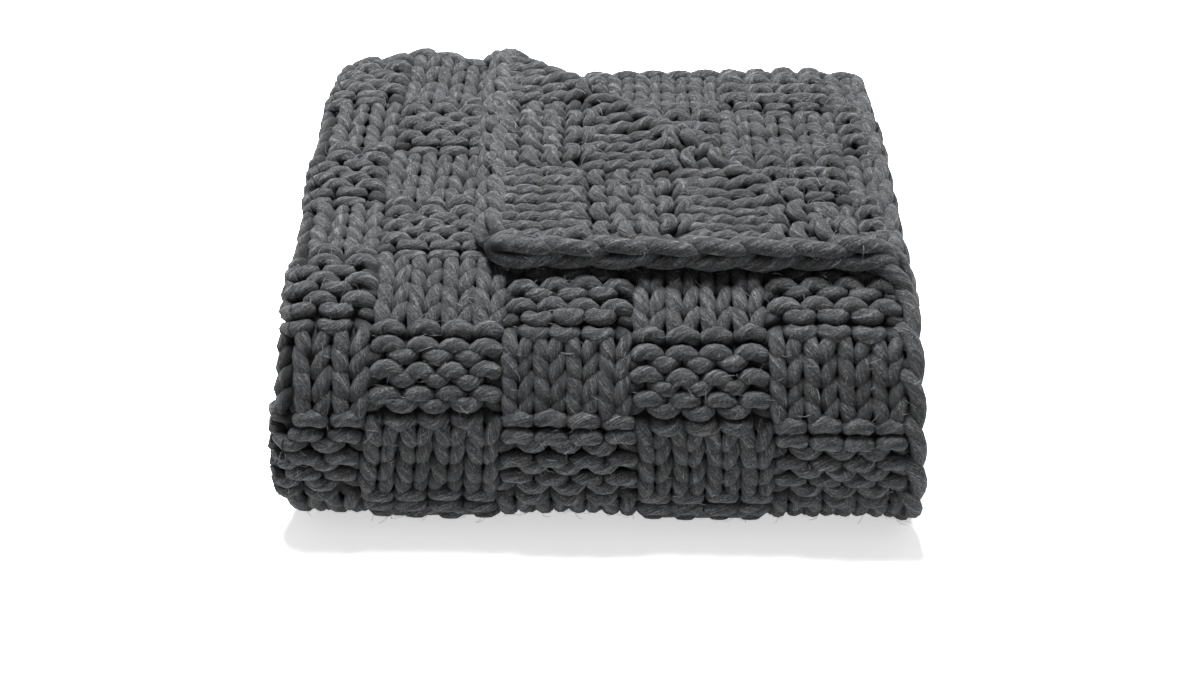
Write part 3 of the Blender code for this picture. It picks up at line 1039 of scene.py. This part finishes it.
@dataclass
class Throw:
    """The folded throw: its thin middle, its stitches, its edge chains and its stray fibres.

    Rows count from the top back edge, and stitches from the first block boundary outside the crease.
    """

    fold: Fold = field(default_factory=Fold)
    fine_steps: int = 20
    plain_steps: int = 14
    fine_sides: int = 10
    plain_sides: int = 8
    grid: float = 0.010
    inset: float = 0.010
    flat_extra: float = 0.012
    top_rows: int = 16
    front_rows: int = 34
    under_rows: int = 58
    inner_rows: int = 18
    end_rows: int = 4
    crease: float = -2.0
    last_outer: float = 16.1
    last_inner: float = -21.1
    hidden_outer: Pair = (1.0, 12.0)
    hidden_inner: Pair = (-17.0, -5.0)
    chain_inset: float = 0.0085
    chain_out: float = 0.001
    chain_short: float = 0.2
    chain_seeds: tuple[int, int, int, int] = (100, 300, 500, 700)
    past_corner: float = 0.010
    with_fibres: tuple[str, ...] = ("top_stitches", "front_stitches", "inner_half_stitches", "edge_chains")
    fibre_level: float = 0.0006

    def __post_init__(self) -> None:
        """Set out the knit, the yarn and its sweep."""
        self.knit = BasketKnit(self.fold)
        self.rows = int(round(self.fold.length / self.fold.row))
        self.yarn = HeatherYarn().material()
        self.sweep = yarn_sweep()
        self.pieces: list[bpy.types.Object] = []

    def build_middle(self) -> bpy.types.Object:
        """Make the thin sheet through the middle of the cloth and return it."""
        width, length = self.fold.width, self.fold.length
        across = np.linspace(-width + self.inset, width - self.inset, int(2 * width / self.grid))
        along = np.linspace(self.inset, length - self.inset, int(length / self.grid))
        spread_across, spread_along = np.meshgrid(across, along)
        flat = spread_across.ravel(), spread_along.ravel(), np.zeros(spread_across.size)
        points = self.fold.points(*flat)
        columns = len(across)
        corner = (np.arange(len(along) - 1)[:, None] * columns + np.arange(columns - 1)).ravel()
        faces = np.stack((corner, corner + columns, corner + columns + 1, corner + 1), axis=1)
        mesh = bpy.data.meshes.new("cloth_middle")
        mesh.from_pydata(points.tolist(), [], faces.tolist())
        mesh.shade_smooth()
        mesh.materials.append(DeepYarn().material())
        return add_object("cloth_middle", mesh)

    def dress(self, name: str, strands: list[Strand], sides: int) -> None:
        """Sweep strands into a piece of yarn and keep it.

        Args:
            name: The piece's name.
            strands: The strands.
            sides: Sides of the yarn's round.
        """
        piece = strand_object(name, strands)
        self.sweep.apply(piece, Sides=sides, Yarn=self.yarn)
        self.pieces.append(piece)
        log.info("%s: %d strands, %d faces", name, len(strands), len(piece.data.polygons))

    def courses(self, rows: range, first: float, last: float, steps: int) -> list[Strand]:
        """Rows of stitches over one range of stitch numbers."""
        return [self.knit.course(row, first, last, steps) for row in rows]

    def build_stitches(self) -> None:
        """Knit every part of the cloth that can be seen."""
        crease, outer, inner = self.crease, self.last_outer, self.last_inner
        top, front = range(self.top_rows), range(self.top_rows, self.front_rows)
        under = range(self.front_rows, self.under_rows)
        fine, plain = (self.fine_steps, self.fine_sides), (self.plain_steps, self.plain_sides)
        for name, rows, first, last, (steps, sides) in (
            ("top_stitches", top, crease, outer, fine),
            ("front_stitches", front, crease, outer, fine),
            ("under_stitches", under, crease, outer, plain),
            ("inner_half_stitches", range(self.inner_rows), inner, crease, fine),
        ):
            self.dress(name, self.courses(rows, first, last, steps), sides)
        deep_inner, deep_outer = range(self.inner_rows, self.rows), range(self.under_rows, self.rows)
        end = range(self.rows - self.end_rows, self.rows)
        (outer_from, outer_to), (inner_from, inner_to) = self.hidden_outer, self.hidden_inner
        edges = []
        for rows, first, last in (
            (deep_inner, inner_to, crease),
            (deep_inner, inner, inner_from),
            (deep_outer, crease, outer_from),
            (deep_outer, outer_to, outer),
            (end, inner_from, inner_to),
            (end, outer_from, outer_to),
        ):
            edges += self.courses(rows, first, last, self.plain_steps)
        self.dress("edge_stitches", edges, self.plain_sides)

    def build_chains(self) -> None:
        """Finish the two selvages and the two end edges with chains."""
        fold, length = self.fold, self.fold.length
        side, start, end = fold.width - self.chain_inset, -self.chain_out, fold.length + self.chain_out
        short = side - self.chain_short * fold.stitch
        selvage = EdgeChain(2 * fold.row, Facing.SELVAGE)
        count = round(length / selvage.pitch)
        # The outer chain starts at the hidden end, so that its last link ends past the flap's corner.
        fitted = EdgeChain((length + self.past_corner) / (count - 1 + selvage.overlap), Facing.SELVAGE)
        bound = EdgeChain(fold.stitch, Facing.BOUND_OFF)
        cast = EdgeChain(fold.stitch, Facing.CAST_ON)
        links = []
        for seed, (chain, first, last, place) in zip(
            self.chain_seeds,
            (
                (fitted, 0.0, length, lambda s, o, h: fold.points(side + o, length - s, h)),
                (selvage, 0.0, length, lambda s, o, h: fold.points(-side - o, s, h)),
                (bound, -side, short, lambda s, o, h: fold.points(s, start - o, h)),
                (cast, -side, side, lambda s, o, h: fold.points(s, end + o, h)),
            ),
        ):
            links += chain.links(first, last, place, seed)
        self.dress("edge_chains", links, self.fine_sides)

    def build_fibres(self) -> None:
        """Grow stray fibres on the yarn that faces the room."""
        stray = StrayFibre()
        tree, fibre = stray.growth(), stray.material()
        shown = [piece for piece in self.pieces if piece.name in self.with_fibres]
        for number, piece in enumerate(shown):
            made = add_object(f"fibres_on_{piece.name}", piece.data.copy())
            tree.apply(made, Density=stray.density, Seed=number, Length=stray.length, Fibre=fibre)
            points = np.empty(3 * len(made.data.vertices))
            made.data.vertices.foreach_get("co", points)
            points[2::3] = np.maximum(points[2::3], self.fibre_level)
            made.data.vertices.foreach_set("co", points)
            self.pieces.append(made)
            log.info("%s: %d faces", made.name, len(made.data.polygons))

    def build(self) -> None:
        middle = self.build_middle()
        self.build_stitches()
        self.build_chains()
        self.build_fibres()
        for piece in (middle, *self.pieces):
            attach(piece, BODY)
        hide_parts(NODE)


@dataclass(frozen=True)
class Softbox:
    """One soft square light: its name, its place, its side in metres and its power in watts."""

    name: str
    place: Triple
    size: float
    power: float


@dataclass(frozen=True)
class Studio:
    """Pale floor, soft light and the photograph's point of view."""

    azimuth: float = -0.95
    elevation: float = 32.985
    distance: float = 1.9396
    target: Triple = (-0.0842, 0.012, 0.14)
    focal_pixels: float = 1855.0
    centre_pixels: Pair = (513.4, 263.0)
    image: Pair = (1200.0, 675.0)
    sensor: float = 36.0
    lit_point: Triple = (0.0, 0.0, 0.12)
    floor_size: float = 14.0
    floor_level: float = -0.0005
    floor_light: float = 0.55
    room_light: float = 0.38
    softboxes: tuple[Softbox, ...] = (
        Softbox("overhead softbox", (-0.25, 0.55, 2.3), 0.9, 300.0),
        Softbox("front softbox", (0.4, -2.6, 1.3), 1.6, 1.0),
    )

    def camera(self) -> None:
        """Set up the camera with only the shift that the framing needs."""
        azimuth, elevation = math.radians(self.azimuth), math.radians(self.elevation)
        level = math.cos(elevation)
        look = Vector((math.sin(azimuth) * level, math.cos(azimuth) * level, -math.sin(elevation)))
        right = Vector((math.cos(azimuth), -math.sin(azimuth), 0.0))
        up = right.cross(look)
        data = bpy.data.cameras.new("camera")
        data.sensor_width = self.sensor
        data.lens = self.focal_pixels * self.sensor / self.image[0]
        data.shift_x = (self.image[0] / 2 - self.centre_pixels[0]) / self.image[0]
        data.shift_y = -(self.image[1] / 2 - self.centre_pixels[1]) / self.image[0]
        data.clip_start = 0.05
        camera = add_object("camera", data)
        turn = Matrix((right, up, -look)).transposed()
        camera.matrix_world = Matrix.Translation(Vector(self.target) - look * self.distance) @ turn.to_4x4()
        bpy.context.scene.camera = camera

    def hang(self, softbox: Softbox) -> None:
        """Add one softbox that looks at the throw."""
        data = bpy.data.lights.new(softbox.name, "AREA")
        data.size = softbox.size
        data.energy = softbox.power
        made = add_object(softbox.name, data)
        made.location = softbox.place
        toward = Vector(self.lit_point) - Vector(softbox.place)
        made.rotation_euler = toward.to_track_quat("-Z", "Y").to_euler()

    def floor(self) -> None:
        """Lay the plain pale floor."""
        bpy.ops.mesh.primitive_plane_add(size=self.floor_size, location=(0.0, 0.0, self.floor_level))
        floor = bpy.context.object
        floor.name = "floor"
        tree = ShaderTree("pale floor")
        tree.shade(
            Base_Color=(0.93, 0.93, 0.93, 1.0),
            Roughness=0.9,
            Specular_IOR_Level=0.1,
            Emission_Color=(1.0, 1.0, 1.0, 1.0),
            Emission_Strength=self.floor_light,
        )
        floor.data.materials.append(tree.material)

    def build(self) -> None:
        """Set up the camera, floor and light."""
        self.camera()
        self.floor()
        world = bpy.data.worlds.new("studio")
        bpy.context.scene.world = world
        world.use_nodes = True
        back = world.node_tree.nodes["Background"]
        back.inputs["Color"].default_value = (1.0, 1.0, 1.0, 1.0)
        back.inputs["Strength"].default_value = self.room_light
        for softbox in self.softboxes:
            self.hang(softbox)
        bpy.context.scene.view_settings.view_transform = "Standard"


def main() -> None:
    """Build the throw and its studio."""
    logging.basicConfig(level=logging.INFO, format="%(name)s: %(message)s")
    Studio().build()
    Throw().build()


if __name__ == "__main__":
    main()
